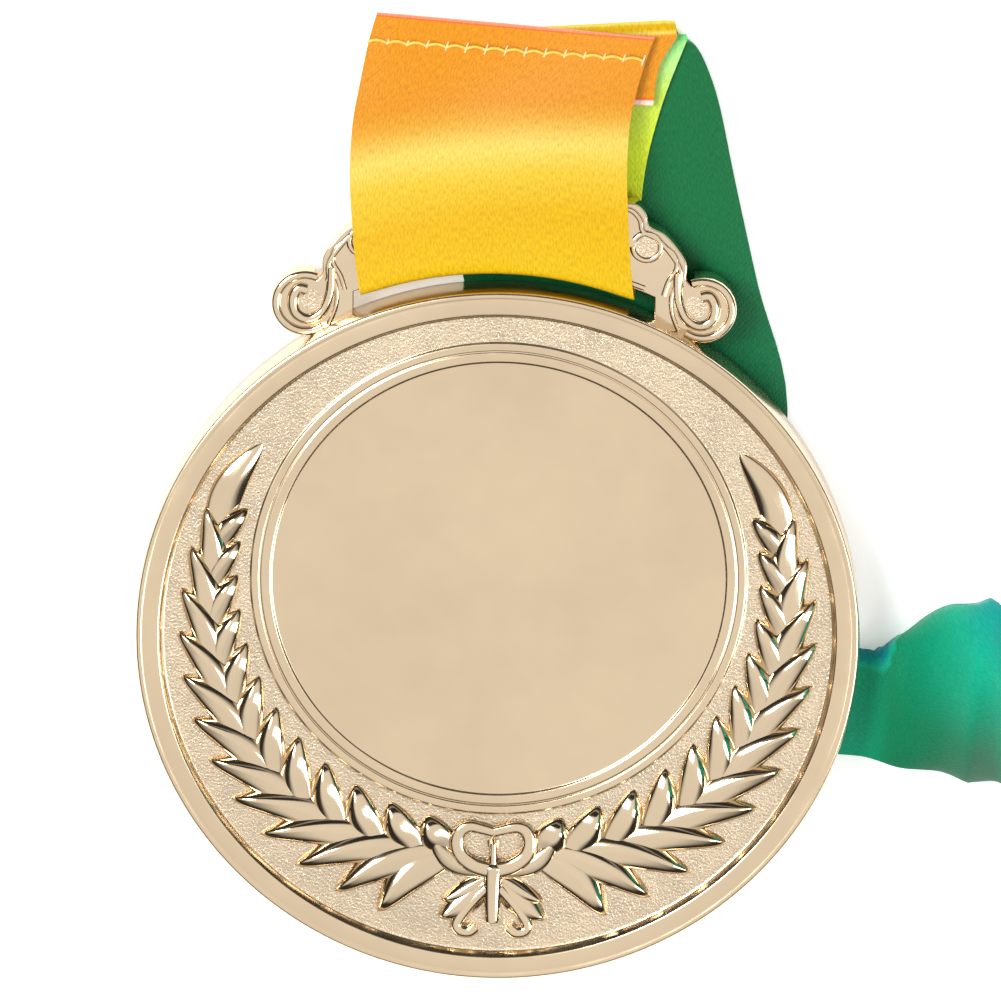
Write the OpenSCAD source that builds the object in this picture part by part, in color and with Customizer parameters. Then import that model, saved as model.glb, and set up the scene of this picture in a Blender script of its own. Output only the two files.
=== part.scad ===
/* [Medal] */
// Diameter of the disc
disc_d = 65; // [60:0.5:70]
// Thickness of the disc at its rim
disc_t = 4.5; // [4:0.1:5]
// Width of the flat band round the edge
rim_w = 2; // [1.5:0.1:2.5]
// Depth of the frosted field below the rim
field_depth = 0.9; // [0.6:0.1:1.2]
// Diameter of the polished insert seat
seat_d = 43; // [42:0.5:44]
// How far the seat lies above the middle of the disc
seat_shift = 5.4; // [5:0.1:5.5]
// Height of the leaves and the knot above the frosted field
relief_h = 0.8; // [0.5:0.1:1]

/* [Hanger] */
// Thickness of the hanger plate
hanger_t = 2.4; // [2:0.1:2.8]
// Length of the slot that the ribbon passes through
slot_l = 26.8; // [26:0.2:27]
// Gap of the slot between the disc and the bar
slot_gap = 1.9; // [1.8:0.1:2.1]

/* [Ribbon] */
// Width of the ribbon
ribbon_w = 24.6; // [24:0.1:25]
// Thickness of the ribbon
ribbon_t = 0.4; // [0.3:0.05:0.4]
// Diameter of the rolled-up length of the neck ribbon
roll_d = 27; // [26:1:28]

/* [Hidden] */
gold = [0.86, 0.78, 0.64];
shine = [0.8, 0.7, 0.55];
orange = [1, 0.6, 0.15];
green = [0.1, 0.5, 0.28];
teal = [0.05, 0.6, 0.5];
thread = [1, 0.9, 0.5];

disc_r = disc_d / 2;
layer = ribbon_t + 0.05;        // pitch of ribbon layers that lie on each other
medal_z = 2;                    // underside of the medal, above four ribbon layers
front_z = medal_z + disc_t;
field_z = front_z - field_depth;
hanger_z = medal_z + hanger_t;
field_r = disc_r - rim_w - 0.5;
seat_r = seat_d / 2;
slot_r = disc_r + slot_gap;
bend_r = 33.4;                  // inside of the loop's bend, in the middle of the slot
over_z = hanger_z + 0.1;        // underside of the loop where it crosses the bar
loop_x = -ribbon_w / 2 - 0.7;   // left edge of the loop
fold_y = 59;                    // crest where the straps fold back behind the loop
leaf_pairs = 12;
stem_y = 2.6;                   // centre of the arc that the stems of the wreath follow
outer_tip_r = 28.9;             // outer leaf tips lie on this circle about the disc
inner_tip_r = 23.4;             // inner leaf tips lie on this circle about the seat
inner_start = 1.7;              // an inner leaf starts this many degrees farther along the stem

// A leaf: the meeting of two discs, pointed at both ends, from the origin along +X
module leaf(length, width, height) {
    bow = (length * length / 4 + width * width / 4) / width;
    translate([length / 2, 0, 0])
        intersection() {
            translate([0, bow - width / 2, 0]) cylinder(h = height, r = bow, $fn = 48);
            translate([0, width / 2 - bow, 0]) cylinder(h = height, r = bow, $fn = 48);
        }
}

module medal_disc() {
    color(gold)
    difference() {
        translate([0, 0, medal_z])
            rotate_extrude($fn = 96)
                polygon([[0, 0], [disc_r - 0.3, 0], [disc_r, 0.3], [disc_r, disc_t - 0.4],
                         [disc_r - 0.4, disc_t], [field_r + 0.5, disc_t],
                         [field_r, disc_t - field_depth], [0, disc_t - field_depth]]);
        translate([0, seat_shift, field_z - 0.4])
            difference() {
                cylinder(h = 2, r = seat_r, $fn = 96);
                translate([0, 0, -1]) cylinder(h = 4, r = seat_r - 0.9, $fn = 96);
            }
        translate([0, seat_shift, field_z - 0.2]) cylinder(h = 2, r = seat_r - 0.5, $fn = 96);
    }
}

// A point on the right-hand stem, by its angle from straight down
function stem(angle) =
    let (r = 26.1 - 2.2 * pow(max(0, (42 - angle) / 30), 1.3))
    [r * sin(angle), stem_y - r * cos(angle)];

// Where the ray at that angle from the stem's centre meets the circle about (0, cy)
function tip(cy, r, angle) =
    let (ray = [sin(angle), -cos(angle)], rise = stem_y - cy, half = rise * ray[1],
         t = sqrt(half * half - rise * rise + r * r) - half)
    [ray[0] * t, stem_y + ray[1] * t];

module leaf_between(from, to, width) {
    way = to - from;
    translate([from[0], from[1], field_z])
        rotate([0, 0, atan2(way[1], way[0])]) leaf(norm(way), width, relief_h);
}

// One branch of the wreath, on the +X side: pairs of leaves and one at its end
module branch() {
    for (k = [0 : leaf_pairs - 1]) {
        t = k / (leaf_pairs - 1);
        angle = 11 + 89 * t;
        lead = 13.5 - 5 * t;
        leaf_between(stem(angle), tip(0, outer_tip_r, angle + lead), 2.9 - t);
        leaf_between(stem(angle + inner_start), tip(seat_shift, inner_tip_r, angle + lead), 2.7 - t);
    }
    leaf_between(stem(105), [20.9, 18.6], 2.7);
}

module laurel_right() { color(shine) branch(); }
module laurel_left() { color(shine) mirror([1, 0, 0]) branch(); }

// Two pairs of wings on a slim body, between the stems of the wreath
module butterfly_knot() {
    color(shine) translate([0, -21.6, field_z]) {
        for (side = [-1, 1]) {
            translate([side * 1.7, 1.7, 0]) cylinder(h = relief_h, r = 2, $fn = 32);
            translate([side * 2.7, -2.9, 0]) cylinder(h = relief_h, r = 1.7, $fn = 32);
            rotate([0, 0, 90 - side * 65]) leaf(4.8, 2, relief_h);
        }
        translate([-0.5, -4.6, 0]) cube([1, 7, relief_h + 0.1]);
    }
}

// Flat plate with a volute at each foot, a shoulder above it and a crest across the top
module ribbon_hanger() {
    color(gold)
    difference() {
        translate([0, 0, medal_z])
            union() {
                for (side = [-1, 1]) {
                    translate([side * 17.5, 30.7, 0]) cylinder(h = hanger_t, r = 3.2, $fn = 48);
                    translate([side * 12.3, 36.2, 0]) cylinder(h = hanger_t, r = 4, $fn = 48);
                    translate([side * 10.8, 39.6, 0]) cylinder(h = hanger_t, r = 1.5, $fn = 32);
                }
                linear_extrude(height = hanger_t)
                    polygon([[-17.5, 28], [-14.8, 33.5], [-13.6, 39.4], [-10.5, 41], [0, 42.4],
                             [10.5, 41], [13.6, 39.4], [14.8, 33.5], [17.5, 28]]);
            }
        cylinder(h = 20, r = disc_r - 0.02, $fn = 96);
        translate([0, 0, -1])
            intersection() {
                cylinder(h = 20, r = slot_r, $fn = 96);
                translate([-slot_l / 2, 20, 0]) cube([slot_l, 30, 20]);
            }
    }
}

// A flat piece of the loop, cut off along the arc that its bend follows
module loop_sheet(z, top_y) {
    translate([0, 0, z])
        linear_extrude(height = ribbon_t)
            difference() {
                translate([loop_x, 20]) square([ribbon_w, top_y - 20]);
                circle(r = bend_r, $fn = 96);
            }
}

// The loop: over the bar, down through the slot and back beneath it
module ribbon_loop() {
    color(orange) {
        loop_sheet(2 * layer, fold_y);
        loop_sheet(over_z, 46);
        translate([0, 0, 2 * layer])
            intersection() {
                difference() {
                    cylinder(h = over_z + ribbon_t - 2 * layer, r = bend_r + ribbon_t, $fn = 96);
                    translate([0, 0, -1]) cylinder(h = 10, r = bend_r, $fn = 96);
                }
                translate([loop_x, 20, 0]) cube([ribbon_w, 30, 20]);
            }
        translate([loop_x, 0, 0]) rotate([90, 0, 90])
            linear_extrude(height = ribbon_w)
                polygon([[46, over_z], [57, 2.55], [57, 2.55 + ribbon_t], [46, over_z + ribbon_t]]);
    }
}

// The other cut end, sewn between the two layers of the loop
module ribbon_end() {
    color(orange)
    translate([1.5, 0, 1.85]) rotate([0, 0, -3]) translate([-ribbon_w / 2, 51, 0])
        cube([ribbon_w, 8, ribbon_t]);
}

module seam_stitches() {
    color(thread)
    translate([-11.8, 55, 3.5]) rotate([0, 0, -2])
        for (i = [0 : 13]) translate([i * 1.75, 0, 0]) cube([1.35, 0.3, 0.25]);
}

// A band swept through stations, each given by its left and right edges
module swept(stations, thickness) {
    last = len(stations) - 1;
    function middle(i) = (stations[i][0] + stations[i][1]) / 2;
    function normal(i) =
        let (along = middle(min(i + 1, last)) - middle(max(i - 1, 0)),
             n = cross(along, stations[i][1] - stations[i][0]))
        n / norm(n);
    points = [for (i = [0 : last]) let (n = normal(i) * thickness)
        each [stations[i][0], stations[i][1], stations[i][1] + n, stations[i][0] + n]];
    sides = [for (i = [0 : last - 1]) for (j = [0 : 3])
        let (a = 4 * i + j, b = 4 * i + (j + 1) % 4)
        each [[b, a, a + 4], [b, a + 4, b + 4]]];
    start = [[0, 1, 2], [0, 2, 3]];
    finish = [for (f = [[0, 2, 1], [0, 3, 2]]) [for (k = f) 4 * last + k]];
    polyhedron(points = points, faces = concat(start, sides, finish));
}

// Front and back edges of the tail: it comes out gathered, opens and rolls up on to its edge
tail = [[[22, -14, 0], [22, -3, 0]], [[33, -12.4, 0], [33, -2, 0]],
        [[36.6, -13.1, 0], [36.6, 2.1, 3]], [[40.5, -13.9, 0], [40.5, 5.2, 8]],
        [[45, -14.8, 0], [45, 6.3, 12.7]], [[52, -9.5, 0], [52, -0.5, 22.8]],
        [[59, -5, 0], [59, -5, ribbon_w]], [[66, -4.6, 0], [66, -4.6, ribbon_w]]];

// Ribbon from the fold behind the loop to the diagonal fold under the disc
module strap(lift) {
    color(green) translate([0, 0, lift])
        linear_extrude(height = ribbon_t)
            polygon([[-9, fold_y], [15.6, fold_y - 1], [25.4, 21], [21.5, -10], [14, -22],
                     [-3, -4], [-1.5, 21]]);
}

module strap_one() { strap(0); }
module strap_two() { strap(layer); }

// Both lengths of the neck ribbon, face to face, from under the disc to the roll
module neck_tails() {
    color(teal)
        translate([0, 0, 2 * layer]) swept(tail, layer + ribbon_t);
}

// The rest of the neck ribbon, rolled up on its edge
module neck_roll() {
    color(teal)
    translate([66, -5.6 - roll_d / 2, 0]) cylinder(h = ribbon_w, d = roll_d, $fn = 64);
}

medal_disc();
ribbon_hanger();
laurel_left();
laurel_right();
butterfly_knot();
ribbon_loop();
ribbon_end();
strap_one();
strap_two();
neck_tails();
neck_roll();
seam_stitches();
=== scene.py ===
"""Sports finisher medal: champagne-gold casting on a satin neck ribbon, laid flat."""
import math

import bmesh
import bpy
from mathutils import Matrix, Vector


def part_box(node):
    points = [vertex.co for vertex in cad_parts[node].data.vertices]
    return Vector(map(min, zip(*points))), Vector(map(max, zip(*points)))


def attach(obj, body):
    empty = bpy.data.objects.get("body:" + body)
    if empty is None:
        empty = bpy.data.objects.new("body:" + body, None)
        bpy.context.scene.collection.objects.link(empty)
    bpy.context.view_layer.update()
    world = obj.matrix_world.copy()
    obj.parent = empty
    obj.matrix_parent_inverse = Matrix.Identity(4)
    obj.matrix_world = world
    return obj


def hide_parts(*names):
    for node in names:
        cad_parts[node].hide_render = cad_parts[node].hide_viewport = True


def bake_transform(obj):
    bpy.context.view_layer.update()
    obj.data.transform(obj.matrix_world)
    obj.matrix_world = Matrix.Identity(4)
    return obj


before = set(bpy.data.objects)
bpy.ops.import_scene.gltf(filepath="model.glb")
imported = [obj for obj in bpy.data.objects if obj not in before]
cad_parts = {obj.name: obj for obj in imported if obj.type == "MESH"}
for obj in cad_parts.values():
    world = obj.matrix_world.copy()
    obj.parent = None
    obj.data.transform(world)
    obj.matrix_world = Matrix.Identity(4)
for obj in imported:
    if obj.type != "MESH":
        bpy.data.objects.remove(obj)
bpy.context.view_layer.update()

MM = 0.001
rad = math.radians

# Sizes in millimetres, read from the frame where it holds them
disc_low, disc_high = [[c / MM for c in corner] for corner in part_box("medal_disc")]
DISC_R = (disc_high[0] - disc_low[0]) / 2
BACK_Z = disc_low[2]
FRONT_Z = disc_high[2]
FIELD_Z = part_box("laurel_left")[0][2] / MM
HANGER_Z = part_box("ribbon_hanger")[1][2] / MM
RIM_W = 2.0
FIELD_R = DISC_R - RIM_W - 0.5
SEAT_Y = 5.4      # the middle of the insert's seat, above the middle of the disc
SEAT_R = 22.35    # outer edge of the raised ring round the seat
RIBBON_W = 24.6
RIBBON_T = 0.4
LAYER = 0.45      # from one layer of ribbon to the next
SLOT_R = 34.4     # upper side of the hanger's slot, about the middle of the disc
BEND_R = 33.65    # where the ribbon turns in the slot, about the same point


# ---------------------------------------------------------------- materials
def srgb(r, g, b):
    """A colour from its 0..255 values, as Blender's linear ones."""
    def lin(c):
        c /= 255
        return c / 12.92 if c <= 0.04045 else ((c + 0.055) / 1.055) ** 2.4
    return (lin(r), lin(g), lin(b), 1)


def grey(v):
    return (v, v, v, 1)


def set_stops(node, stops):
    """Give a colour ramp its stops, each a place and a colour."""
    elements = node.color_ramp.elements
    while len(elements) < len(stops):
        elements.new(0.5)
    for element, (place, colour) in zip(elements, stops):
        element.position = place
        element.color = colour


class Nodes:
    """A short way to write a material's node tree."""

    def __init__(self, name):
        self.mat = bpy.data.materials.new(name)
        self.mat.use_nodes = True
        self.tree = self.mat.node_tree
        self.bsdf = self.tree.nodes["Principled BSDF"]

    def fill(self, node, inputs):
        """Set or link each input; an underscore stands for a space in its name."""
        for key, value in inputs.items():
            socket = node.inputs[key.replace("_", " ")]
            if isinstance(value, bpy.types.NodeSocket):
                self.tree.links.new(value, socket)
            else:
                socket.default_value = value
        return node

    def add(self, kind, **inputs):
        return self.fill(self.tree.nodes.new(kind), inputs)

    def shader(self, **inputs):
        self.fill(self.bsdf, inputs)

    def noise(self, scale, detail=3.0, vector=None):
        vector = vector or self.add("ShaderNodeTexCoord").outputs["Object"]
        return self.add("ShaderNodeTexNoise", Vector=vector, Scale=scale, Detail=detail).outputs["Fac"]

    def ramp(self, fac, stops):
        node = self.add("ShaderNodeValToRGB", Fac=fac)
        set_stops(node, stops)
        return node.outputs["Color"]

    def bump(self, height, strength, distance, normal=None):
        node = self.add("ShaderNodeBump", Height=height, Strength=strength, Distance=distance)
        if normal:
            self.tree.links.new(normal, node.inputs["Normal"])
        return node.outputs["Normal"]


def metal(name, colour, roughness, pebble=0.0):
    """Cast metal with a slight mottle; pebble is the strength of a fine grain."""
    n = Nodes(name)
    tint = n.ramp(n.noise(90), [(0.35, [c * 0.93 for c in colour[:3]] + [1]), (0.65, colour)])
    rough = n.ramp(n.noise(420, 4), [(0.3, grey(roughness * 0.8)), (0.75, grey(roughness * 1.35))])
    normal = n.bump(n.noise(160, 2), 0.12, 0.00012)
    if pebble:
        grain = n.noise(4600, 2)
        normal = n.bump(grain, pebble, 0.0001, normal)
    n.shader(Base_Color=tint, Metallic=1.0, Roughness=rough, Normal=normal)
    return n.mat


GOLD = srgb(224, 201, 168)
polished = metal("champagne_polished", GOLD, 0.2)
bright = metal("champagne_relief", srgb(226, 204, 172), 0.1)
frosted = metal("champagne_frosted", srgb(206, 188, 162), 0.36, 0.9)


def ribbon_material():
    """Satin whose colour follows the strip's tone: 0 at its cut ends, 1 in its middle."""
    n = Nodes("satin_ribbon")
    tone = n.add("ShaderNodeAttribute")
    tone.attribute_name = "tone"
    colour = n.ramp(tone.outputs["Fac"], [
        (0.0, srgb(255, 206, 190)), (0.003, srgb(225, 70, 16)), (0.0068, srgb(205, 130, 10)),
        # painted highlight: the stops from 0.044 to 0.07, brightest at 0.057, are a lighter band that
        # stands for the satin's sheen across the front of the loop
        (0.035, srgb(205, 132, 26)), (0.044, srgb(206, 148, 42)), (0.057, srgb(215, 189, 88)),
        (0.07, srgb(212, 176, 48)), (0.09, srgb(205, 160, 6)), (0.125, srgb(205, 167, 3)),
        (0.14, srgb(236, 208, 74)), (0.18, srgb(208, 226, 36)), (0.197, srgb(208, 230, 46)),
        (0.222, srgb(182, 208, 72)), (0.241, srgb(164, 220, 126)), (0.262, srgb(100, 210, 126)),
        # painted shade: from 0.295 to 0.5 the print's green is darkened further, as for a strap that
        # lies in shadow behind the hanger and under the disc
        (0.295, srgb(6, 96, 50)), (0.5, srgb(3, 94, 58)), (0.62, srgb(1, 118, 78)),
        (0.7, srgb(1, 150, 112)), (0.8, srgb(2, 168, 134)), (0.9, srgb(2, 150, 142)),
        (1.0, srgb(4, 104, 158))])
    uv = n.add("ShaderNodeUVMap")
    uv.uv_map = "strip"
    stretched = n.add("ShaderNodeMapping", Vector=uv.outputs["UV"], Scale=(7200, 2000, 1))
    slub = n.noise(1.0, 2, stretched.outputs["Vector"])
    threads = n.add("ShaderNodeTexWave", Vector=uv.outputs["UV"], Scale=1350.0, Distortion=1.2)
    threads.bands_direction = "DIAGONAL"
    normal = n.bump(threads.outputs["Fac"], 0.25, 0.00004)
    normal = n.bump(slub, 0.45, 0.00008, normal)
    shade = n.ramp(slub, [(0.32, grey(0.8)), (0.7, grey(1.12))])
    mixed = n.add("ShaderNodeMixRGB", Fac=1.0, Color1=colour, Color2=shade)
    mixed.blend_type = "MULTIPLY"
    n.shader(Base_Color=mixed.outputs["Color"], Roughness=0.42, Sheen_Weight=0.03,
             Sheen_Roughness=0.4, Anisotropic=0.5, Specular_IOR_Level=0.22, Normal=normal)
    return n.mat


def thread_material(name, low, high):
    n = Nodes(name)
    tint = n.ramp(n.noise(3000), [(0.3, low), (0.7, high)])
    n.shader(Base_Color=tint, Roughness=0.55, Sheen_Weight=0.3,
             Normal=n.bump(n.noise(5000), 0.5, 0.00003))
    return n.mat


satin = ribbon_material()
thread = thread_material("sewing_thread", srgb(232, 176, 52), srgb(240, 200, 80))
pucker = thread_material("pulled_yarn", srgb(240, 190, 140), srgb(250, 214, 176))


# ---------------------------------------------------------------- mesh helpers
def piece(name, bm, materials, body, nodes, smooth_angle):
    """Close the mesh and make it an object; edges sharper than smooth_angle stay sharp."""
    mesh = bpy.data.meshes.new(name)
    bmesh.ops.remove_doubles(bm, verts=bm.verts, dist=1e-6)
    bmesh.ops.recalc_face_normals(bm, faces=bm.faces)
    bm.to_mesh(mesh)
    bm.free()
    for m in materials:
        mesh.materials.append(m)
    obj = bpy.data.objects.new(name, mesh)
    bpy.context.scene.collection.objects.link(obj)
    for polygon in mesh.polygons:
        polygon.use_smooth = True
    mesh.set_sharp_from_angle(angle=rad(smooth_angle))
    if body:
        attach(obj, body)
    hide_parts(*nodes)
    return obj


def add_grid(bm, rows, closed=False, material=0):
    """Skin a grid of points in mm; closed joins each row's end to its start."""
    made = [[bm.verts.new([c * MM for c in p]) for p in row] for row in rows]
    count = len(rows[0])
    for a, b in zip(made, made[1:]):
        for j in range(count if closed else count - 1):
            k = (j + 1) % count
            quad = bm.faces.new([a[j], a[k], b[k], b[j]])
            quad.material_index = material
    return made


def spline(points, steps):
    """Catmull-Rom through the points, each a tuple of any length."""
    out = []
    last = len(points) - 1
    for i in range(last):
        p0, p1, p2, p3 = [points[min(max(k, 0), last)] for k in (i - 1, i, i + 1, i + 2)]
        for s in range(steps):
            t = s / steps
            out.append(tuple(
                0.5 * (2 * b + (c - a) * t + (2 * a - 5 * b + 4 * c - d) * t * t
                       + (3 * b - a - 3 * c + d) * t ** 3)
                for a, b, c, d in zip(p0, p1, p2, p3)))
    out.append(tuple(points[-1]))
    return out


def add_tube(bm, path, radius, flat, sides=10, material=0):
    """A rod along path; radius is a number or a function of 0..1, flat scales its height."""
    rows = []
    for i, p in enumerate(path):
        ahead = Vector(path[min(i + 1, len(path) - 1)]) - Vector(path[max(i - 1, 0)])
        ahead.normalize()
        side = ahead.cross(Vector((0, 0, 1)))
        side = side.normalized() if side.length > 1e-6 else Vector((1, 0, 0))
        up = side.cross(ahead)
        r = radius(i / (len(path) - 1)) if callable(radius) else radius
        rows.append([Vector(p) + (side * math.cos(a) + up * flat * math.sin(a)) * r
                     for a in [2 * math.pi * k / sides for k in range(sides)]])
    made = add_grid(bm, rows, closed=True, material=material)
    for ring in (made[0], made[-1]):
        cap = bm.faces.new(ring)
        cap.material_index = material


# ---------------------------------------------------------------- the disc
def make_disc():
    """Rings from the middle of the back, round the rim, to the middle of the eccentric seat."""
    bm = bmesh.new()
    segments = 256
    r = DISC_R
    plain, rough = 0, 1
    bead_r = 0.32
    bead = [(0, r - bead_r + bead_r * math.sin(rad(a)),
             FRONT_Z - bead_r + bead_r * math.cos(rad(a)), plain) for a in range(90, -1, -18)]
    # each ring: y of its centre, radius, height and finish
    rings = [(0, 0.01, BACK_Z, plain), (0, r - 4, BACK_Z, plain), (0, r - 0.4, BACK_Z, plain),
             (0, r - 0.1, BACK_Z + 0.1, plain), (0, r, BACK_Z + 0.4, plain)]
    rings += bead
    rings += [(0, r - inset, FRONT_Z - drop, plain)
              for inset, drop in [(0.5, 0.03), (0.62, 0.1), (0.72, 0.08), (0.8, 0.06),
                                  (RIM_W - 0.12, 0.06), (RIM_W, 0.08), (RIM_W + 0.12, 0.14)]]
    rings += [(0, FIELD_R + 0.12, FIELD_Z + 0.1, plain), (0, FIELD_R, FIELD_Z, plain)]
    steps = 6   # across the field, from the rim to the ring round the seat
    rings += [(SEAT_Y * k, FIELD_R + (SEAT_R - FIELD_R) * k, FIELD_Z, rough)
              for k in [0.02] + [k / steps for k in range(1, steps)] + [0.98, 1]]
    # two raised bands with a groove between them, then the flat floor of the seat
    rings += [(SEAT_Y, SEAT_R - inset, FIELD_Z + height, plain)
              for inset, height in [(0.06, 0.02), (0.16, 0.14), (0.26, 0.18), (0.36, 0.18), (0.75, 0.18),
                                    (0.83, 0.17), (0.9, 0.08), (0.95, 0.08),
                                    (1.0, 0.1), (1.08, 0.17), (1.2, 0.18), (1.75, 0.18),
                                    (1.85, 0.17), (1.92, 0.1), (2.0, 0.01), (2.08, 0.0), (2.3, 0.0),
                                    (6, 0.0), (14, 0.0), (SEAT_R - 0.01, 0.0)]]
    made = []
    for cy, radius, z, _ in rings:
        made.append([bm.verts.new((radius * math.cos(a) * MM, (cy + radius * math.sin(a)) * MM, z * MM))
                     for a in [2 * math.pi * k / segments for k in range(segments)]])
    for a, b, ring in zip(made, made[1:], rings[1:]):
        for j in range(segments):
            k = (j + 1) % segments
            quad = bm.faces.new([a[j], a[k], b[k], b[j]])
            quad.material_index = ring[3]
    bm.faces.new(made[0])
    bm.faces.new(made[-1])
    piece("disc", bm, [polished, frosted], "medal", ["medal_disc"], 50)


# ---------------------------------------------------------------- the wreath
SPINE_Y = 2.6        # the middle of the stem's arc
OUTER_TIP_R = 28.9   # the outer leaves end on this circle, round the middle of the disc
INNER_TIP_R = 23.4   # and the inner ones on this, round the middle of the seat


def spine(angle):
    """A point on the stem, by its angle in degrees from straight down."""
    r = 26.1 - 2.2 * max(0, (42 - angle) / 30) ** 1.3
    return Vector((r * math.sin(rad(angle)), SPINE_Y - r * math.cos(rad(angle)), FIELD_Z))


def on_circle(cy, r, angle):
    """Where the ray from the stem's centre at that angle meets the circle about (0, cy)."""
    dx, dy = math.sin(rad(angle)), -math.cos(rad(angle))
    oy = SPINE_Y - cy
    half = oy * dy
    t = -half + math.sqrt(half * half - oy * oy + r * r)
    return Vector((dx * t, SPINE_Y + dy * t, FIELD_Z))


def add_leaf(bm, base, tip, width, lift, curve, mirror, lead, sink, cap):
    """A plump leaf that climbs from its base to a steep tip. lead is the side, -1 to 1 of its
    width, that its ridge leans to; sink is how much of its height the base has; cap is the part of
    its length that falls to the tip."""
    along = tip - base
    length = along.length
    along.normalize()
    side = Vector((-along.y, along.x, 0))
    nu, nv = 22, 16
    ridge = 0.3 * lead
    rows = []
    for i in range(nu + 1):
        u = i / nu
        outline = math.sin(math.pi * (0.04 + 0.96 * u) ** 0.9) ** 0.62
        half = max(0.03, width / 2 * outline)
        crown = lift * (sink + (1 - sink) * math.sin(math.pi * 0.5 * min(1, u / 0.72)) ** 1.5)
        fall = max(0, (u - 1 + cap) / cap)
        crown *= max(0.02, 1 - fall ** 1.9) ** 0.8
        mid = base + along * (length * u) + side * (curve * math.sin(math.pi * u) * length)
        row = []
        for j in range(nv + 1):
            v = math.sin((j / nv - 0.5) * math.pi)
            crest = v * (1 if lead >= 0 else -1)
            if crest > abs(ridge):
                dome = (1 - ((crest - abs(ridge)) / (1 - abs(ridge))) ** 1.5) ** 0.8
            else:
                slope = (abs(ridge) - crest) / (1 + abs(ridge))
                dome = (1 - 0.42 * slope) * (1 - slope ** 7) ** 0.6
            p = mid + side * (half * v) + Vector((0, 0, crown * dome - 0.05))
            row.append((p.x * mirror, p.y, p.z))
        rows.append(row)
    add_grid(bm, rows)
    low = FIELD_Z - 0.08
    border = [r[0] for r in rows] + rows[-1][1:] + [r[-1] for r in reversed(rows[:-1])]
    border += list(reversed(rows[0][1:-1]))
    add_grid(bm, [[(p[0], p[1], low) for p in row] for row in rows])
    add_grid(bm, [border, [(p[0], p[1], low) for p in border]], closed=True)


def make_wreath(name, node, mirror):
    """An outer and an inner leaf from each joint of the stem, growing slimmer towards the top, and
    one last leaf at its end. mirror is -1 for the left branch. Angles are in degrees."""
    bm = bmesh.new()
    pairs = 12
    for k in range(pairs + 1):
        t = k / pairs
        joint = spine(2 + 8.4 * k)
        base = spine(max(9, -3 + 8.6 * k))
        lift = 1.08 - 0.1 * t
        if k < pairs:
            tip = on_circle(0, OUTER_TIP_R - 0.5 * (1 - t), 19.7 + 8.15 * k)
            width = 3.35 - 0.75 * t
            add_leaf(bm, base, tip, width, lift, 0.1 - 0.03 * t, mirror, 0.6, 0.25, 0.22)
        if k:
            j = k - 1
            tip = on_circle(SEAT_Y, INNER_TIP_R, 17.5 + 9.9 * j - 0.12 * j * j)
            start = base.lerp(joint, 0.4)
            add_leaf(bm, start, tip, 3.3 - 0.95 * t, lift, -0.06, mirror, -0.3, 0.25, 0.34)
    last_base, last_tip = Vector((25.5, 8.6, FIELD_Z)), Vector((21.3, 17.8, FIELD_Z))
    add_leaf(bm, last_base, last_tip, 3.1, 0.85, -0.09, mirror, 0.1, 0.3, 0.5)
    piece(name, bm, [bright], "medal", [node], 60)


# ---------------------------------------------------------------- the knot
def make_knot():
    """On each side a heart-shaped band over three leaf-shaped wings and a curl, with a slim body
    and a small forked knob in the middle."""
    bm = bmesh.new()
    z = FIELD_Z + 0.25   # middle of the rods
    for m in (-1, 1):
        heart = [(0.5, -22.1), (1.8, -21.7), (2.9, -20.8), (3.3, -19.6), (3.0, -18.5), (2.2, -18.0),
                 (1.1, -18.2), (0, -18.5)]
        add_tube(bm, [(x * m, y, z + 0.2) for x, y in spline(heart, 6)],
                 lambda u: 0.8 - 0.35 * u, 0.5, 14)
        wings = [((0.4, -22.6), (6.0, -18.2), 2.2, 0.75, -0.16, m, 0.1, 0.5, 0.25),
                 ((0.4, -22.8), (4.7, -25.2), 1.8, 0.75, -0.04, m, 0.2, 0.6, 0.16),
                 ((0.5, -23.4), (4.9, -26.9), 2.7, 0.85, -0.04, m, 0.2, 0.6, 0.14)]
        for base, tip, *form in wings:
            add_leaf(bm, Vector((*base, FIELD_Z)), Vector((*tip, FIELD_Z)), *form)
        curl = [(0.6, -23.9), (1.6, -25.0), (2.6, -26.3), (3.2, -27.4), (2.9, -28.0), (2.1, -28.1),
                (1.5, -27.6)]
        add_tube(bm, [(x * m, y, z) for x, y in spline(curl, 6)], lambda u: 0.5 + 0.14 * u, 0.8, 14)
        add_tube(bm, [(0.28 * m, -19.9, z), (0.28 * m, -19.5, z), (0.3 * m, -19.2, z)], 0.26, 1.2)
    knob = [(0, -21.6), (0, -20.8), (0, -20.0), (0, -19.6)]
    add_tube(bm, [(x, y, z) for x, y in knob], 0.42, 1.1, 14)
    body = [(0, -21.4), (0, -22.0), (0, -22.8), (0, -24.4), (0, -26.0), (0, -27.0), (0, -27.3)]
    add_tube(bm, [(x, y, z) for x, y in spline(body, 5)],
             lambda u: (1.05 - 0.5 * u) * min(1, 0.35 + 5 * u, 0.2 + 8 * (1 - u)), 0.75, 18)
    piece("knot", bm, [bright], "medal", ["butterfly_knot"], 60)


# ---------------------------------------------------------------- the hanger
VOLUTE = (17.7, 30.6)   # the middle of the right volute
EYE = (12.6, 36.4)      # and of the round boss above it
SLOT_HALF = 13.4        # half the slot's width


def arc(cx, cy, r, start, end, steps):
    """Points on a circle about (cx, cy), from start to end in degrees."""
    return [(cx + r * math.cos(rad(start + (end - start) * k / steps)),
             cy + r * math.sin(rad(start + (end - start) * k / steps))) for k in range(steps + 1)]


def hanger_edge():
    """Right half of the outline, from the middle of the crest down to the disc."""
    crest = [(0, 42.3), (2.5, 42.1), (5, 41.2), (8, 40.6), (10, 40.4), (11.6, 40.3), (12.5, 39.4),
             (12.8, 38.3), (14.1, 37.6), (15.3, 36.3), (16.2, 34.8), (16.2, 33.4), (16.75, 32.7)]
    volute = arc(*VOLUTE, 3.05, 105, -125, 14)
    return spline(crest, 4) + volute


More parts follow.
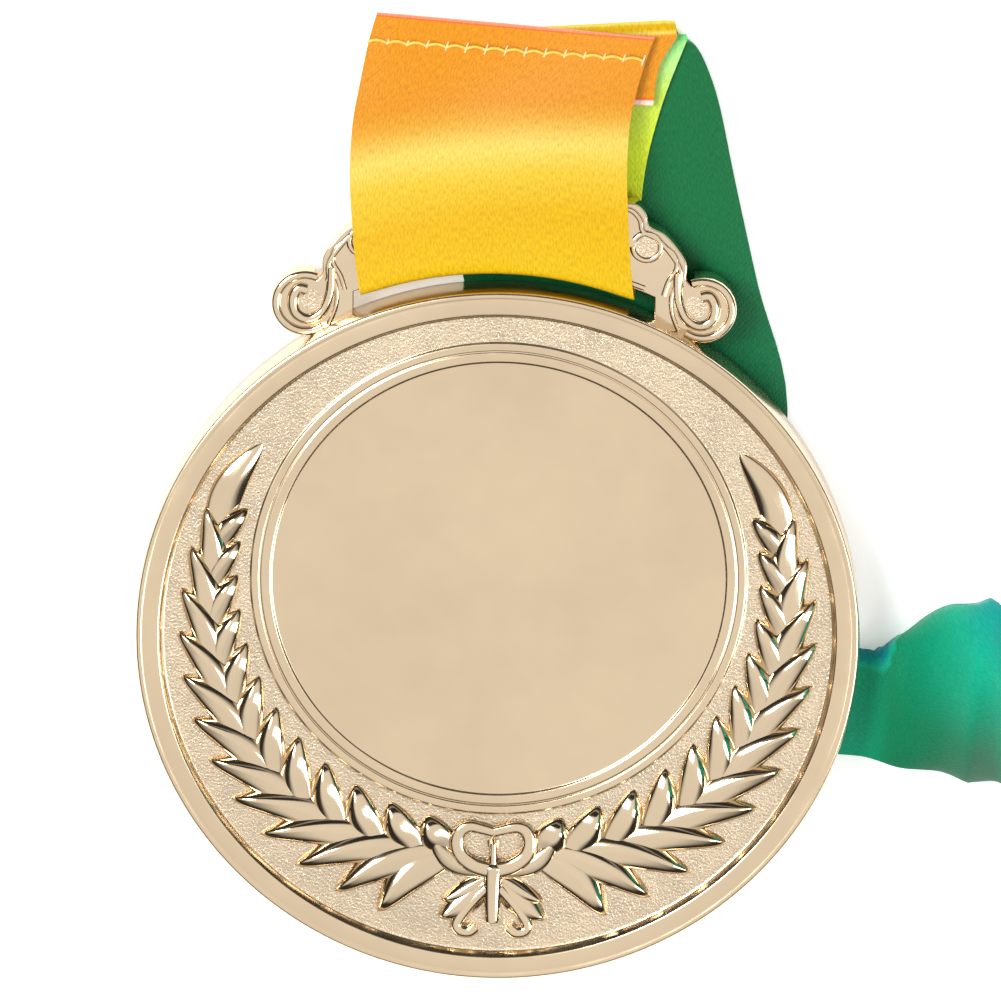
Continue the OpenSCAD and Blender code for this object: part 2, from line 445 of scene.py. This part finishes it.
def make_hanger():
    """The plate is a filled outline with a slot and a small bevel; rods and bosses lie on it."""
    curve = bpy.data.curves.new("hanger_outline", "CURVE")
    curve.dimensions = "2D"
    curve.fill_mode = "BOTH"
    half = hanger_edge()
    inside = arc(0, 0, DISC_R - 0.6, 58, 122, 24)
    outline = half + inside + [(-x, y) for x, y in reversed(half[1:])]
    slot_low = DISC_R - 0.3
    edge = math.degrees(math.asin(SLOT_HALF / SLOT_R))
    low_edge = math.degrees(math.asin(SLOT_HALF / slot_low))
    slot = arc(0, 0, SLOT_R, 90 - edge, 90 + edge, 24)
    slot += arc(0, 0, slot_low, 90 + low_edge, 90 - low_edge, 24)
    for points in (outline, slot):
        s = curve.splines.new("POLY")
        s.points.add(len(points) - 1)
        for q, (x, y) in zip(s.points, points):
            q.co = (x * MM, y * MM, 0, 1)
        s.use_cyclic_u = True
    bevel = 0.16
    thick = HANGER_Z - 0.1 - BACK_Z
    curve.extrude = (thick / 2 - bevel) * MM
    curve.bevel_depth = bevel * MM
    curve.bevel_resolution = 2
    curve.offset = -bevel * MM
    holder = bpy.data.objects.new("hanger_outline", curve)
    bpy.context.scene.collection.objects.link(holder)
    bm = bmesh.new()
    bm.from_mesh(holder.to_mesh())
    bmesh.ops.translate(bm, verts=bm.verts, vec=(0, 0, (BACK_Z + thick / 2) * MM))
    bpy.data.objects.remove(holder)
    top = BACK_Z + thick
    for m in (-1, 1):
        scroll = spline([(15.4, 33.9), (15.5, 31.6), (16.2, 29.8), (17.4, 29.1), (18.5, 29.6),
                         (18.8, 30.9), (18.3, 31.9), (17.6, 31.8)], 6)
        border = arc(*VOLUTE, 2.62, 112, -125, 24)
        shoulder = half[18:46]   # the outline between the crest and the volute
        inset = [(x - 0.55, y - 0.5) for x, y in shoulder]
        eye = arc(*EYE, 1.25, 150, -180, 22)
        sweep = spline([(14.2, 31.9), (14.6, 33.2), (15.3, 34.5), (15.0, 35.8), (13.6, 36.8)], 6)
        foot = spline([(15.6, 28.6), (15.0, 30.2), (14.9, 31.8), (15.4, 33.4)], 6)
        for path, r in ((scroll, lambda u: 0.4 + 0.16 * u), (border, 0.42), (inset, 0.26),
                        (eye, 0.28), (sweep, 0.24), (foot, 0.22)):
            add_tube(bm, [(x * m, y, top) for x, y in path], r, 0.75)
        for x, y, r in ((17.1, 30.9, 1.0), (*EYE, 1.1)):
            add_tube(bm, [(x * m, y, top - 0.2), (x * m, y, top + 0.02)], r, 1.0, 24, 1)
    bar = arc(0, 0, SLOT_R + 0.45, 69, 111, 30)
    add_tube(bm, [(x, y, top - 0.1) for x, y in bar], 0.3, 0.7)
    crown = spline([(-9.8, 39.7), (-6, 40), (-3, 41), (0, 41.5), (3, 41), (6, 40), (9.8, 39.7)], 6)
    add_tube(bm, [(x, y, top) for x, y in crown], 0.28, 0.7)
    piece("hanger", bm, [bright, frosted], "medal", ["ribbon_hanger"], 40)


# ---------------------------------------------------------------- the ribbon
ACROSS = 17             # points across the loop
WIDE = ACROSS * 2 - 1   # points across the rest, which is folded lengthwise at the disc
TONE_LENGTH = 185       # the colour changes over this length from each end
CUT_EDGE = 0.35         # the pink of the cut end
FLAP = 5.7              # the last end lies behind the loop over this length
CREST = (47.3, 47.9)    # the first strap turns down behind the loop between these lengths
END_OFFSET = 36.5       # beside the disc, the last end is this much nearer than the first one
HALF_SQUARED = 151      # about the square of half the ribbon's width


def make_strip(name, rows, start, body, nodes, tones):
    """A ribbon from rows of points along its middle surface; tones maps a place to 0..1,
    from the lengths before and after it in mm and its share of the width."""
    count = len(rows[0])
    rows = [[Vector(p) for p in row] for row in rows]
    lengths = [start]
    for a, b in zip(rows, rows[1:]):
        lengths.append(lengths[-1] + (b[count // 2] - a[count // 2]).length)
    normals = []
    for i, row in enumerate(rows):
        ahead, behind = rows[min(i + 1, len(rows) - 1)], rows[max(i - 1, 0)]
        line = []
        for j in range(count):
            across = row[min(j + 1, count - 1)] - row[max(j - 1, 0)]
            n = across.cross(ahead[j] - behind[j])
            line.append(n.normalized() if n.length > 1e-9 else Vector((0, 0, 1)))
        normals.append(line)
    bm = bmesh.new()
    uv = bm.loops.layers.uv.new("strip")
    tone = bm.verts.layers.float.new("tone")
    place = {}
    sides = []
    for sign in (0.5, -0.5):
        grid = []
        for i, row in enumerate(rows):
            line = []
            for j, p in enumerate(row):
                edge = 1 - 0.45 * (abs(2 * j / (count - 1) - 1) > 0.99)
                v = bm.verts.new((p + normals[i][j] * RIBBON_T * sign * edge) * MM)
                v[tone] = tones(lengths[i], lengths[-1] - lengths[i], j / (count - 1))
                place[v] = (j / (count - 1) * RIBBON_W * MM, lengths[i] * MM)
                line.append(v)
            grid.append(line)
        sides.append(grid)
    top, under = sides

    def quad(*verts):
        f = bm.faces.new(verts)
        for loop in f.loops:
            loop[uv].uv = place[loop.vert]

    last = len(rows) - 1
    for i in range(last):
        for j in range(count - 1):
            quad(top[i][j], top[i + 1][j], top[i + 1][j + 1], top[i][j + 1])
            quad(under[i][j], under[i][j + 1], under[i + 1][j + 1], under[i + 1][j])
        for j in (0, count - 1):
            quad(top[i][j], under[i][j], under[i + 1][j], top[i + 1][j])
    for i in (0, last):
        for j in range(count - 1):
            quad(top[i][j], top[i][j + 1], under[i][j + 1], under[i][j])
    obj = piece(name, bm, [satin], body, nodes, 70)
    return obj, lengths[-1]


# the ends of the two folds above the hanger: the first strap's, and the second's outside it
CREST_LEFT, CREST_RIGHT = (-8.6, 52.8), (15.8, 54.7)
OUTER_LEFT, OUTER_RIGHT = (-9.6, 53.4), (14.9, 55.2)


def between(left, right, bow=0.0):
    """Points from left to right; bow drops the ends below the middle, as the disc's edge does."""
    out = []
    for j in range(ACROSS):
        w = j / (ACROSS - 1)
        p = Vector(left).lerp(Vector(right), w)
        p.y -= bow * (BEND_R - math.sqrt(BEND_R ** 2 - (2 * w - 1) ** 2 * HALF_SQUARED))
        out.append(p)
    return out


def rise(x, start, span):
    """0 up to start, then evenly up to 1 over the span."""
    return min(1, max(0, (x - start) / span))


def loop_tone(length, left, w):
    """The colours, and with them the painted highlight band across the satin, run slightly aslant
    between the cut edge and the slot, lower at the left.
    """
    slant = 2.6 * (1 - w) ** 2 * rise(length, 0, 9) * (1 - rise(length, 20, 10))
    if length < 0.2:
        return 0.003
    return max(0.009, (length - slant) / TONE_LENGTH)


def make_loop():
    """From the cut edge down over the hanger, round its bar and up behind it; returns its length."""
    over = HANGER_Z + 0.12 + RIBBON_T / 2
    # left x, y, z and right x, y, z of each row, and its bow
    stations = [
        (-11.7, 57.1, 2.75, 12.9, 55.3, 2.75, 0), (-12.4, 54.6, 3.0, 12.1, 53.0, 2.95, 0),
        (-13.1, 51, 3.6, 11.3, 50.0, 3.4, 0), (-13.7, 47.5, 4.6, 10.8, 47.0, 4.2, 0),
        (-13.9, 43.5, 5.1, 10.7, 43.4, 4.9, 0.15), (-13.7, 40, over + 0.1, 10.9, 40, over + 0.1, 0.4),
        (-13.3, 36.6, over, 11.2, 36.6, over, 0.8), (-12.9, 34.4, over - 0.1, 11.5, 34.4, over - 0.1, 1),
        (-12.8, 33.8, over - 0.6, 11.6, 33.8, over - 0.6, 1),
        (-12.7, 33.65, 3.0, 11.6, 33.65, 3.0, 1), (-12.6, 33.8, 1.7, 11.7, 33.8, 1.7, 1),
        (-12.5, 34.5, 1.15, 11.8, 34.5, 1.15, 1), (-12.2, 38, 1.1, 11.9, 38, 1.1, 0.5),
        (-11.5, 43, 1.1, 12.4, 43, 1.1, 0), (-10.2, 48, 1.1, 13.8, 49, 1.1, 0),
        (*CREST_LEFT, 1.1, *CREST_RIGHT, 1.1, 0)]
    rows = [between(s[:3], s[3:6], s[6]) for s in spline(stations, 8)]
    rippled = 60   # rows on the front, which waves a little
    for i, row in enumerate(rows[:rippled]):
        fade = math.sin(math.pi * min(1, i / (rippled - 1)))
        for j, p in enumerate(row):
            p.z += fade * 0.18 * math.sin(j * 0.55 + i * 0.09)
    obj, end = make_strip("ribbon_loop_sheet", rows, 0, None, ["ribbon_loop"], loop_tone)
    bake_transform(obj)
    return end


def crest_rows(high, low, out, left, right):
    """Round the fold behind the loop, from height high down to height low."""
    left, right = Vector((*left, 0)), Vector((*right, 0))
    ahead = Vector((-0.22, 0.97, 0))
    mid, r = (high + low) / 2, (high - low) / 2
    rows = []
    for k in range(9):
        a = math.pi * k / 8
        push = ahead * (out + r) * math.sin(a) + Vector((0, 0, mid + r * math.cos(a)))
        rows.append(between(left + push, right + push))
    return rows


def strap_rows(z, left, right):
    """Down behind the hanger and under the disc, to the diagonal fold of the corner."""
    out = right[0] - CREST_RIGHT[0]
    stations = [(*left, z, *right, z), (-8.0, 51, z, 17.1 + out, 53.2, z),
                (-7.2, 46.5, z, 18.7 + out, 49, z), (-5.6, 40, z, 20.4 + out, 41.5, z),
                (-3.4, 31, z, 22.7 + out, 31.8, z), (-0.6, 18, z, 25.6 + out, 20.5, z),
                (-1.0, 8, z, 24.0, 4.0, z), (-3, -4, z + 0.1, 18, -22, z + 0.1)]
    return [between(s[:3], s[3:]) for s in spline(stations, 6)]


ROLL_HALF = 13.5      # half the width of the roll's box
ROLL_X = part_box("neck_roll")[0][0] / MM + ROLL_HALF
ROLL_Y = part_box("neck_roll")[0][1] / MM + ROLL_HALF
ROLL_R = 13.2         # the tail comes to the roll at this radius
ROLL_PITCH = 1.15     # the spiral closes by this much in a turn
ROLL_STEP = 9         # degrees between its rows of points
ROLL_LENGTH = 250     # of each of its two layers


def tail_rows(lift):
    """From the diagonal fold to the roll. Near the disc the back half is tucked under."""
    #          x, front edge y, chord of the part that shows, roll, arch, both in degrees
    stations = [(18, -20, 24.4, 0, 0), (24, -14.5, 20, 0, 0), (28, -12.2, 12.5, 0, 0),
                (33, -12.0, 9.6, 2, 16), (36.6, -12.6, 13.0, 8, 34), (40.5, -12.3, 18.6, 22, 34),
                (45, -14.2, 24.4, 34, 22), (48.5, -15.0, 24.6, 44, 14), (53, -12.0, 24.6, 60, 8),
                (58, -7.2, 24.6, 82, 8), (62, -6.1, 24.6, 89, 0), (66, ROLL_Y + ROLL_R, 24.6, 90, 0)]
    rows = []
    step = RIBBON_W / (WIDE - 1)
    for x, front, chord, roll, arch in spline(stations, 8):
        chord = min(chord, RIBBON_W)
        curl = 0.42 + 0.5 * max(0, min(1, (x - 33) / 6))
        turn = min(1, max(0, (RIBBON_W - chord) / (math.pi * curl)))
        flat = chord if turn == 0 else min(chord - curl, RIBBON_W - math.pi * curl * turn)

        def heading(d):
            if d <= flat:
                return rad(arch) * (0.5 - d / flat)
            if d <= flat + math.pi * curl * turn:
                return -rad(arch) / 2 - (d - flat) / curl
            back = 1 - 0.65 * (d - flat - math.pi * curl * turn) / flat
            return rad(arch) * (0.5 - max(0, back)) - math.pi * turn

        a, b = 0.0, (2 * curl * turn if x > 26 else 0)
        c, s = math.cos(rad(roll)), math.sin(rad(roll))
        row = []
        for j in range(WIDE):
            d = step * j
            h = heading(d)
            across, high = a - math.sin(h) * lift, b + math.cos(h) * lift
            height = 0.45 + (0.85 if x < 27 else 0) + high * c + across * s
            row.append(Vector((x, front + across * c - high * s, max(0.22, height))))
            h = heading(d + step / 2)
            stride = step * (1 - 0.35 * turn * (d > flat + math.pi * curl * turn))
            a += stride * math.cos(h)
            b += stride * math.sin(h)
        rows.append(row[::-1])
    return rows


def roll_rows(offset):
    """Spiral on edge; offset is towards the outside of the roll."""
    rows, run, angle = [], 0.0, 90.0
    while run < ROLL_LENGTH:
        r = ROLL_R - ROLL_PITCH * (90 - angle) / 360 + offset
        x, y = ROLL_X + r * math.cos(rad(angle)), ROLL_Y + r * math.sin(rad(angle))
        rows.append([Vector((x, y, 0.5 + RIBBON_W * (1 - j / (WIDE - 1)))) for j in range(WIDE)])
        angle -= ROLL_STEP
        run += r * rad(ROLL_STEP)
    return rows


def widen(row):
    """The same row with WIDE points across."""
    out = []
    for j in range(WIDE):
        t = j / (WIDE - 1) * (len(row) - 1)
        k = min(int(t), len(row) - 2)
        out.append(row[k].lerp(row[k + 1], t - k))
    return out


def neck_tone(length, left, w):
    """Both ends turn bluer towards the middle of the strip. Beside the disc the tail carries painted
    light and shade: a lighter patch where the disc's shadow falls, and a change across it, lighter and
    bluer at its top edge and darker at its bottom edge. A blue stripe runs along its folded edge."""
    if left < CUT_EDGE:
        return 0
    if left < 100:   # the last end and the second strap
        return min(0.009 + 0.003 * left + max(0, left - FLAP) * 0.1, (left + 18) / TONE_LENGTH)
    # over the crest the mint drops to that darkened green, the start of the strap's painted shade
    if length < CREST[1]:
        return 0.258 + max(0, length - CREST[0]) * 0.07
    near = min(length, left)
    slow = 150   # from here on the colour changes more slowly
    tone = min(near, slow) / TONE_LENGTH + max(0, near - slow) * 0.0007
    # painted light: the tail is made lighter just beside the disc, where the disc's shadow falls on it
    tone += 0.16 * rise(near, 98, 8) * (1 - rise(near, 108, 8))
    # painted light and shade across the tail beside the disc: lighter and bluer at its top edge (w = 0),
    # darker at its bottom edge
    painted_light_across = rise(near, 112, 14) * (1 - rise(near, slow, 32))
    # the floor of 0.3 holds the strap at the darkened green of its painted shade
    tone = max(0.3, tone + (0.04 + (0.5 - w) * 0.34) * painted_light_across)
    # the stripe is placed by the length from the first end; beyond is how far w is past its side
    along = near if length < left else near + END_OFFSET
    beyond = w - min(0.59, 0.62 - 0.04 * (along - 150))
    stripe_tone, stripe_start, stripe_end = 0.93, 140, 160
    if stripe_start < along < stripe_end and beyond > -0.05:
        tone += (stripe_tone - tone) * rise(0.058 - (along - 149) * 0.0055 - beyond, 0, 0.03)
    return min(1, tone)


def make_neck(start):
    """Over the crest, down under the disc, out to the roll and to its middle, then all the way back
    as the second layer, to the end that is sewn on behind the loop."""
    first, second = roll_rows(-LAYER / 2), roll_rows(LAYER / 2)
    centre = Vector((ROLL_X, ROLL_Y, 0))
    inner_end, outer_end = first[-1], second[-1]
    out_dir = (Vector((outer_end[0].x, outer_end[0].y, 0)) - centre).normalized()
    onward = Vector((out_dir.y, -out_dir.x, 0))
    turn = []   # from one layer to the other, in the middle of the roll
    turn_steps, turn_depth = 12, 3.2
    for k in range(1, turn_steps):
        a = math.pi * k / turn_steps
        push = onward * turn_depth * math.sin(a)
        swell = out_dir * (-1.0 * math.cos(a) * math.sin(a))
        turn.append([p.lerp(q, (1 - math.cos(a)) / 2) + push + swell
                     for p, q in zip(inner_end, outer_end)])
    inner, outer = (CREST_LEFT, CREST_RIGHT), (OUTER_LEFT, OUTER_RIGHT)
    one = [widen(r) for r in crest_rows(1.1, 0.65, 0.1, *inner) + strap_rows(0.65, *inner)[1:]]
    two = [widen(r) for r in crest_rows(2.05, 0.2, 0.2, *outer) + strap_rows(0.2, *outer)[1:]]
    rows = one + tail_rows(-LAYER / 2) + first[1:] + turn + list(reversed(second[1:]))
    rows += list(reversed(tail_rows(LAYER / 2))) + list(reversed(two))
    flap = [(*OUTER_RIGHT, 2.05, *OUTER_LEFT, 2.05), (13.4, 52.5, 2.0, -11, 52, 2.0),
            (12.92, 49.2, 2.0, -11.38, 49.9, 2.0), (12.9, 48.9, 2.0, -11.4, 49.6, 2.0)]
    rows += [widen(between(s[3:], s[:3])) for s in spline(flap, 4)[1:]]
    obj, _ = make_strip("neck_ribbon", rows, start, "ribbon",
                        ["strap_one", "strap_two", "neck_tails", "neck_roll", "ribbon_end"],
                        neck_tone)


def make_stitches():
    """A thread arch between each pair of needle holes, and a slanted pull of yarn at each hole."""
    bm = bmesh.new()
    count = 14
    first, last = Vector((-12.5, 54.5, 3.32)), Vector((11.9, 53.2, 3.25))
    for k in range(count):
        a, b = first.lerp(last, k / count), first.lerp(last, (k + 1) / count)
        path = []
        for i in range(9):
            t = i / 8
            p = a.lerp(b, t)
            arch = math.sin(math.pi * t)
            path.append((p.x, p.y + 0.3 * arch, p.z + 0.2 * arch - 0.1))
        add_tube(bm, path, 0.13, 0.8, 8)
        add_tube(bm, [(b.x - 0.12, b.y - 0.42, b.z - 0.2), (b.x, b.y, b.z - 0.02),
                      (b.x + 0.2, b.y + 0.52, b.z - 0.2)], 0.08, 0.8, 8, 1)
    piece("stitches", bm, [thread, pucker], "ribbon", ["seam_stitches"], 60)


# ---------------------------------------------------------------- stage, light and camera
def make_stage():
    """A pale floor, just under everything that lies at z = 0."""
    bm = bmesh.new()
    far, low = 1500, -0.05
    add_grid(bm, [[(-far, y, low), (far, y, low)] for y in (-far, far)])
    n = Nodes("pale_floor")
    n.shader(Base_Color=(0.95, 0.95, 0.95, 1), Roughness=0.9, Specular_IOR_Level=0.1,
             Emission_Color=(1, 1, 1, 1), Emission_Strength=0.3)
    mesh = bpy.data.meshes.new("floor")
    bm.to_mesh(mesh)
    bm.free()
    mesh.materials.append(n.mat)
    floor = bpy.data.objects.new("floor", mesh)
    bpy.context.scene.collection.objects.link(floor)


def area_light(name, place, target, size, power):
    light = bpy.data.lights.new(name, "AREA")
    light.shape = "RECTANGLE"
    light.size, light.size_y = size
    light.energy = power
    obj = bpy.data.objects.new(name, light)
    obj.location = place
    obj.rotation_euler = (Vector(target) - Vector(place)).to_track_quat("-Z", "Y").to_euler()
    bpy.context.scene.collection.objects.link(obj)


def grey_ramp(tree, source, stops):
    node = tree.nodes.new("ShaderNodeValToRGB")
    tree.links.new(source, node.inputs["Fac"])
    set_stops(node, [(place, grey(value)) for place, value in stops])
    return node.outputs["Color"]


def make_light():
    """A room that is bright above and dark below, with a dark gap, and two soft lamps."""
    world = bpy.data.worlds.new("studio")
    bpy.context.scene.world = world
    world.use_nodes = True
    tree = world.node_tree
    coords = tree.nodes.new("ShaderNodeTexCoord")
    split = tree.nodes.new("ShaderNodeSeparateXYZ")
    tree.links.new(coords.outputs["Generated"], split.inputs[0])
    height = split.outputs["Z"]
    room = grey_ramp(tree, height, [(0.0, 0.3), (0.08, 0.03), (0.42, 0.04), (0.56, 0.5), (0.68, 0.95),
                                    (1.0, 1.02)])
    # a dark gap between the soft boxes, low down behind the medal's top edge
    masks = [grey_ramp(tree, split.outputs["Y"], [(0.52, 0.0), (0.6, 1.0)]),
             grey_ramp(tree, height, [(0.55, 0.0), (0.59, 1.0), (0.8, 1.0), (0.85, 0.0)])]
    both = tree.nodes.new("ShaderNodeMath")
    both.operation = "MULTIPLY"
    for mask, socket in zip(masks, both.inputs):
        tree.links.new(mask, socket)
    gap = tree.nodes.new("ShaderNodeMixRGB")
    tree.links.new(both.outputs[0], gap.inputs["Fac"])
    tree.links.new(room, gap.inputs["Color1"])
    gap.inputs["Color2"].default_value = grey(0.03)
    back = tree.nodes["Background"]
    tree.links.new(gap.outputs["Color"], back.inputs["Color"])
    back.inputs["Strength"].default_value = 1.0
    area_light("key", (-0.35, 0.25, 0.55), (0, 0, 0), (0.3, 0.3), 4.5)
    area_light("fill", (0.45, -0.2, 0.4), (0, 0, 0), (0.25, 0.35), 2.0)


def make_camera():
    """A long lens, tilted from straight above; frame_width is what the picture spans."""
    tilt, roll = rad(18), rad(1.1)
    lens, sensor, frame_width = 400, 36, 89.8
    shift_up, shift_right = 12.5, 0.27   # of the picture's middle from the disc's
    away = Vector((0, math.sin(tilt), math.cos(tilt)))
    up = Vector((0, math.cos(tilt), -math.sin(tilt)))
    right = Vector((1, 0, 0))
    up, right = (up * math.cos(roll) - right * math.sin(roll),
                 right * math.cos(roll) + up * math.sin(roll))
    target = Vector((0, 0, FRONT_Z)) + up * shift_up + right * shift_right
    distance = lens * frame_width / sensor
    data = bpy.data.cameras.new("camera")
    data.lens = lens
    data.sensor_width = sensor
    data.clip_start = 0.01
    camera = bpy.data.objects.new("camera", data)
    turn = Matrix((right, up, away)).transposed().to_4x4()
    turn.translation = (target + away * distance) * MM
    camera.matrix_world = turn
    bpy.context.scene.collection.objects.link(camera)
    bpy.context.scene.camera = camera


make_camera()
make_stage()
make_light()
make_disc()
make_wreath("wreath_left", "laurel_left", -1)
make_wreath("wreath_right", "laurel_right", 1)
make_knot()
make_hanger()
loop_end = make_loop()
make_neck(loop_end)
make_stitches()
bpy.context.scene.view_settings.view_transform = "Standard"
